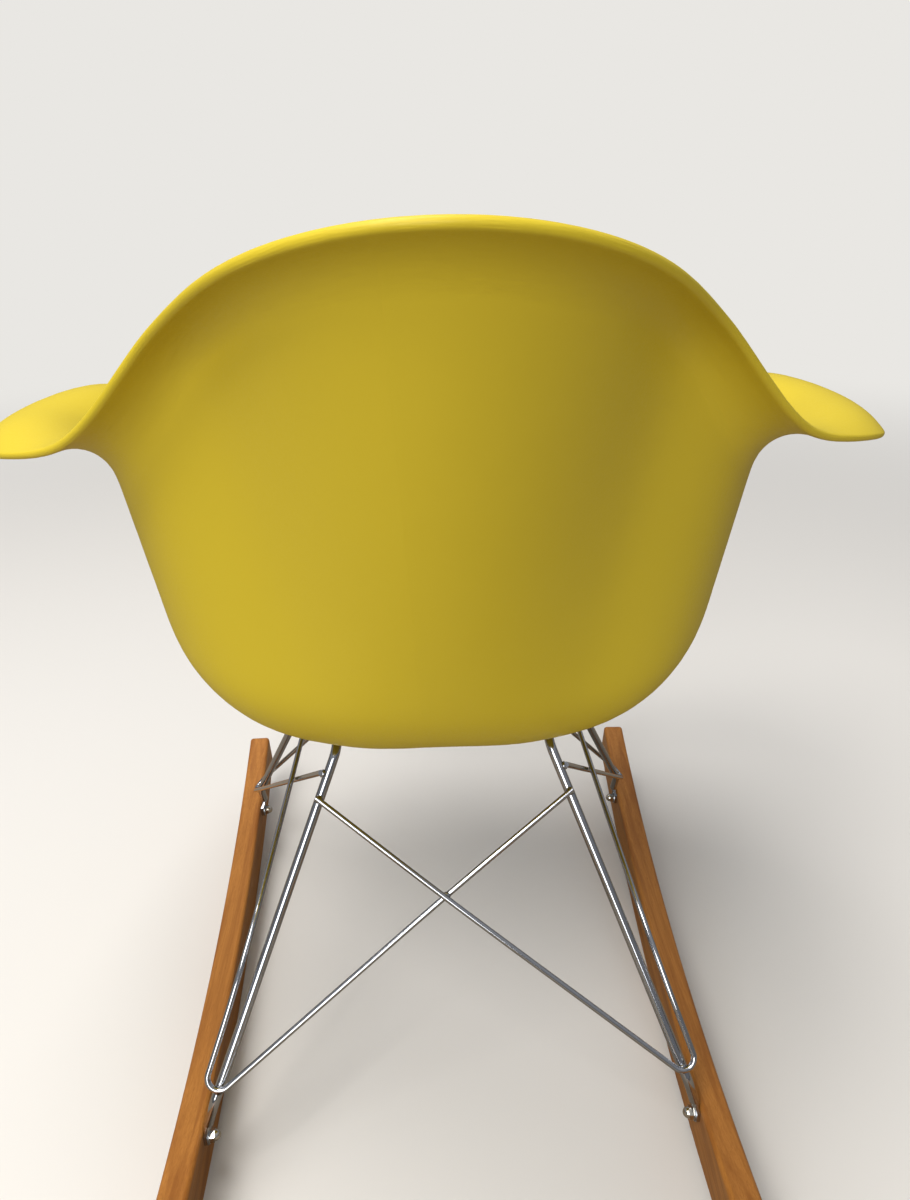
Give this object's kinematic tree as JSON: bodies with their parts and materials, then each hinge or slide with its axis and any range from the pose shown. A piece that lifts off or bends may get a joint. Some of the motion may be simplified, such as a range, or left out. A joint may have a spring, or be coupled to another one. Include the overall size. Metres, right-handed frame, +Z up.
{
  "type": "moulded plastic rocking armchair",
  "caption": "Rocking armchair: a moulded plastic bucket shell with flared arms on a braced chromed rod base, bolted to two curved wooden rockers.",
  "frame": {"origin": "on the floor under the middle of the rockers, at the centre of the bounding box's bottom", "axes": "+Z up, the chair faces -Y, +X to the sitter's left"},
  "size_m": [0.6736, 0.6984, 0.765],
  "materials": {
    "yellow_plastic": "satin, lightly textured",
    "chromed_rod": "bright",
    "maple": "satin lacquer",
    "black_rubber": "matte",
    "zinc_steel": "zinc plated",
    "nickel_nut": "bright nickel"
  },
  "bodies": {
    "root": {"seat_shell": "yellow_plastic", "rocker_left": "maple", "side_hoop_left": "chromed_rod", "rear_brace_left": "chromed_rod", "front_brace_left": "chromed_rod", "rocker_right": "maple", "side_hoop_right": "chromed_rod", "rear_brace_right": "chromed_rod", "front_brace_right": "chromed_rod", "front_cross_rod": "chromed_rod", "rear_cross_rod": "chromed_rod", "mounting_tab_front_left": "chromed_rod", "shock_pad_front_left": "black_rubber", "mounting_tab_front_right": "chromed_rod", "shock_pad_front_right": "black_rubber", "mounting_tab_rear_left": "chromed_rod", "shock_pad_rear_left": "black_rubber", "mounting_tab_rear_right": "chromed_rod", "shock_pad_rear_right": "black_rubber", "threaded_inserts": "zinc_steel", "seat_screws": "zinc_steel", "seat_washers": "zinc_steel", "rocker_bolts": "zinc_steel", "bolt_head_washers": "zinc_steel", "nut_washers": "zinc_steel", "cap_nuts": "nickel_nut"}
  },
  "joints": []
}
